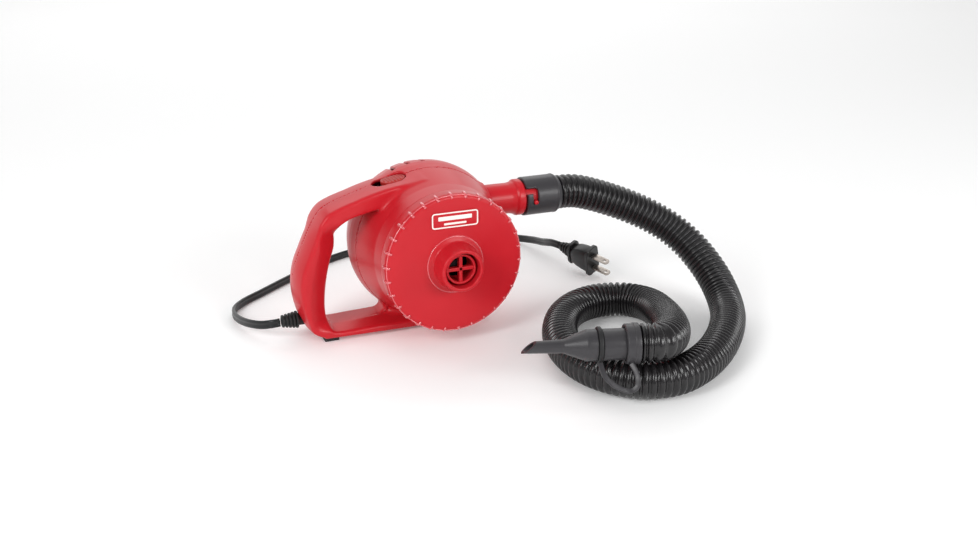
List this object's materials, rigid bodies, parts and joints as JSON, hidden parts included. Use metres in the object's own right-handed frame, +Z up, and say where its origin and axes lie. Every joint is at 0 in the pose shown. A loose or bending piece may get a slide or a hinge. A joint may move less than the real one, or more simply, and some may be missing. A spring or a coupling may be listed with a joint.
{
  "type": "electric air mattress pump",
  "caption": "Drum-shaped mains air pump with a D handle, a slide switch, a corrugated hose on a bayonet cuff, a tapered nozzle and a corded plug.",
  "frame": {"origin": "on the floor, on the drum's rubber foot, below the middle of the motor shaft", "axes": "+X from the handle to the air outlet, +Y from the fan cover along the motor shaft to the rear, +Z up"},
  "size_m": [0.3921, 0.3993, 0.1296],
  "materials": {
    "red_plastic": "glossy moulded ABS",
    "orange_plastic": "satin moulded ABS",
    "white_plastic": "blank plate, satin",
    "black_rubber": "soft moulded rubber",
    "hose_plastic": "soft blow-moulded polyethylene",
    "dark_plastic": "satin moulded polypropylene",
    "black_plastic": "soft PVC and phenolic",
    "fan_plastic": "moulded nylon",
    "steel": "zinc-plated",
    "lamination": "stacked sheets",
    "copper": "enamelled copper",
    "brass": "bare brass",
    "carbon": "pressed carbon",
    "nickel": "nickel-plated brass"
  },
  "bodies": {
    "pump_body": {"front_housing": "red_plastic", "rear_housing": "red_plastic", "fan_cover": "red_plastic", "intake_grille": "red_plastic", "name_plate": "white_plastic", "foot_handle": "black_rubber", "foot_drum": "black_rubber", "outlet_spout": "red_plastic", "divider_plate": "black_plastic", "motor_field_core": "lamination", "field_coil_upper": "copper", "field_coil_lower": "copper", "motor_front_bracket": "steel", "motor_rear_bracket": "steel", "front_bearing": "brass", "rear_bearing": "brass", "motor_screw_1": "steel", "motor_screw_2": "steel", "brush_holder_left": "brass", "carbon_brush_left": "carbon", "brush_spring_left": "steel", "brush_holder_right": "brass", "carbon_brush_right": "carbon", "brush_spring_right": "steel", "housing_screw_1": "steel", "housing_screw_2": "steel", "housing_screw_3": "steel", "housing_screw_4": "steel", "switch_block": "black_plastic", "strain_relief": "black_rubber", "cord_clamp": "dark_plastic", "power_cord": "black_plastic", "plug_body": "black_plastic", "plug_blade_1": "nickel", "plug_blade_2": "nickel", "hose": "hose_plastic", "hose_end_cuff": "dark_plastic", "nozzle_tether": "dark_plastic"},
    "rotor": {"motor_shaft": "steel", "armature_core": "lamination", "armature_windings": "copper", "commutator": "copper", "impeller": "fan_plastic", "impeller_nut": "steel"},
    "slider": {"switch_slider": "orange_plastic"},
    "cuff": {"hose_cuff": "dark_plastic"},
    "nozzle_end": {"nozzle": "dark_plastic", "nozzle_seal_ring": "black_rubber"}
  },
  "joints": [
    {"name": "rotor_spin", "type": "hinge", "parent": "pump_body", "child": "rotor", "pos_m": [0, 0, 0.067], "axis": [0, 1, 0], "continuous": true},
    {"name": "switch_slide", "type": "slide", "parent": "pump_body", "child": "slider", "axis": [-0.9877, 0, -0.1564], "range_m": [0, 0.006]},
    {"name": "cuff_twist", "type": "hinge", "parent": "pump_body", "child": "cuff", "pos_m": [0.0873, 0, 0.0955], "axis": [1, 0, 0], "range_deg": [0, 36]},
    {"name": "nozzle_pull", "type": "slide", "parent": "pump_body", "child": "nozzle_end", "axis": [-0.9573, 0.289, 0], "range_m": [0, 0.025], "deforming": ["nozzle_tether"]}
  ]
}
